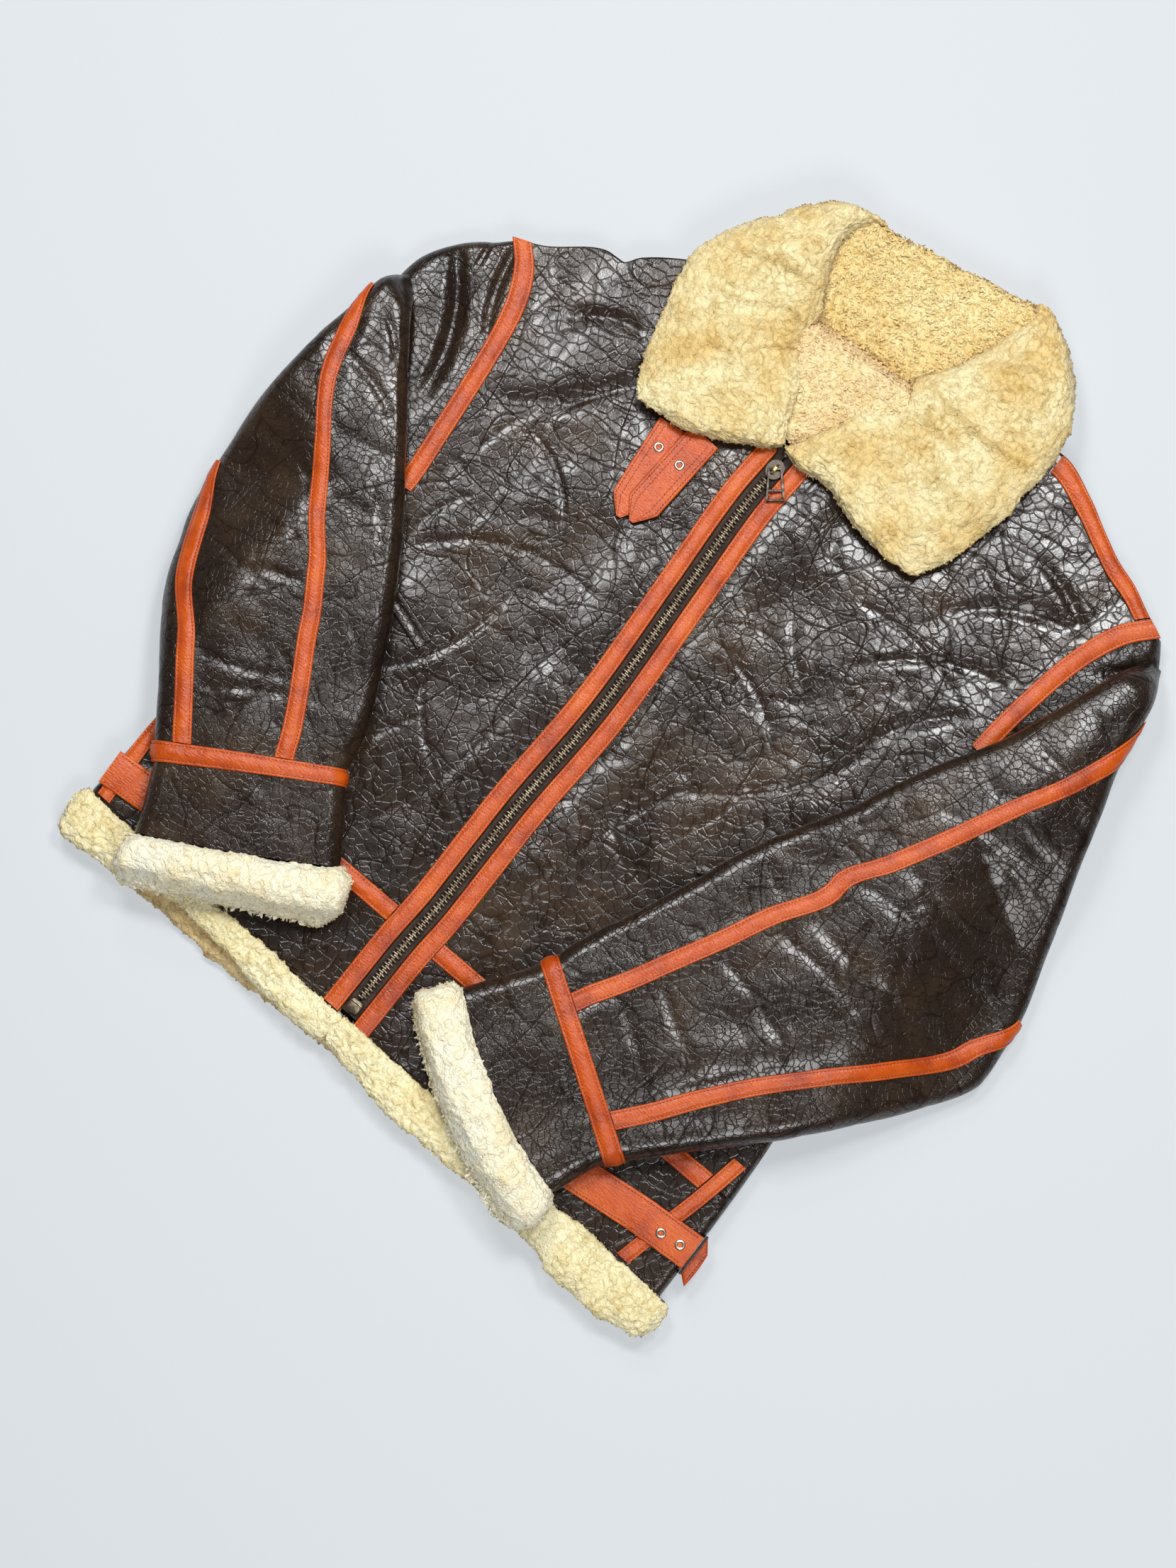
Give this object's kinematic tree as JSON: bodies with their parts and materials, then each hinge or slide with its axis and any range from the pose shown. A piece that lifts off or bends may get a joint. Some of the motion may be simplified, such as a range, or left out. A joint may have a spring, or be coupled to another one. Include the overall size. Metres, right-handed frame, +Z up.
{
  "type": "sheepskin flying jacket",
  "caption": "Brown leather flying jacket with cream shearling collar, cuffs and hem, orange taped seams and a front zip, laid flat with its sleeves folded over the front",
  "frame": {"origin": "bottom centre of the whole jacket's bounding box, on the table", "axes": "+Z is up from the table; +Y runs from the hem to the collar along the zip; +X runs to the wearer's left, the viewer's right"},
  "size_m": [0.8198, 0.889, 0.0705],
  "materials": {
    "brown_leather": "worn, crackled, satin to glossy",
    "orange_leather": "smooth taped strips, stitched along both edges",
    "cream_fur": "clumped wool pile",
    "golden_fur": "clumped wool pile, in shadow",
    "brown_tape": "woven cotton tape",
    "dark_brass": "aged, dark",
    "bright_nickel": "plated, worn"
  },
  "bodies": {
    "jacket": {"back_panel": "brown_leather", "back_hem_band": "brown_leather", "back_hem_fur": "golden_fur", "front_right": "brown_leather", "front_left": "brown_leather", "hem_band_right": "brown_leather", "hem_band_left": "brown_leather", "hem_fur_right": "cream_fur", "hem_fur_left": "cream_fur", "waist_trim_right": "orange_leather", "waist_trim_left": "orange_leather", "zip_trim_right": "orange_leather", "zip_trim_left": "orange_leather", "zip_tape_right": "brown_tape", "zip_tape_left": "brown_tape", "zip_chain": "dark_brass", "zip_box": "dark_brass", "zip_slider": "dark_brass", "side_trim_right": "orange_leather", "side_trim_left": "orange_leather", "armhole_trim_right": "orange_leather", "armhole_trim_left": "orange_leather", "shoulder_trim_left": "orange_leather", "sleeve_head_right": "brown_leather", "sleeve_head_left": "brown_leather", "sleeve_upper_right": "brown_leather", "sleeve_upper_left": "brown_leather", "sleeve_under_right": "brown_leather", "sleeve_under_left": "brown_leather", "sleeve_outer_trim_right": "orange_leather", "sleeve_outer_trim_left": "orange_leather", "sleeve_inner_trim_right": "orange_leather", "sleeve_inner_trim_left": "orange_leather", "cuff_trim_right": "orange_leather", "cuff_trim_left": "orange_leather", "cuff_band_right": "brown_leather", "cuff_band_left": "brown_leather", "cuff_fur_right": "cream_fur", "cuff_fur_left": "cream_fur", "collar_lobe_right": "cream_fur", "collar_lobe_left": "cream_fur", "collar_back": "golden_fur", "neck_lining": "golden_fur", "collar_strap_lower": "orange_leather", "collar_strap_upper": "orange_leather", "collar_eyelet_lower": "bright_nickel", "collar_eyelet_upper": "bright_nickel", "waist_strap_right": "orange_leather", "waist_strap_left": "orange_leather", "waist_eyelet_inner": "bright_nickel", "waist_eyelet_outer": "bright_nickel", "side_buckle": "dark_brass", "waist_strap_tail": "orange_leather", "pocket_welt_right": "brown_leather", "pocket_welt_left": "brown_leather"},
    "pull": {"zip_pull": "dark_brass"}
  },
  "joints": [
    {"name": "pull_tab", "type": "hinge", "parent": "jacket", "child": "pull", "pos_m": [-0.03519, 0.199, 0.02955], "axis": [-0.7912, -0.6115, 0], "range_deg": [0, 110]}
  ]
}
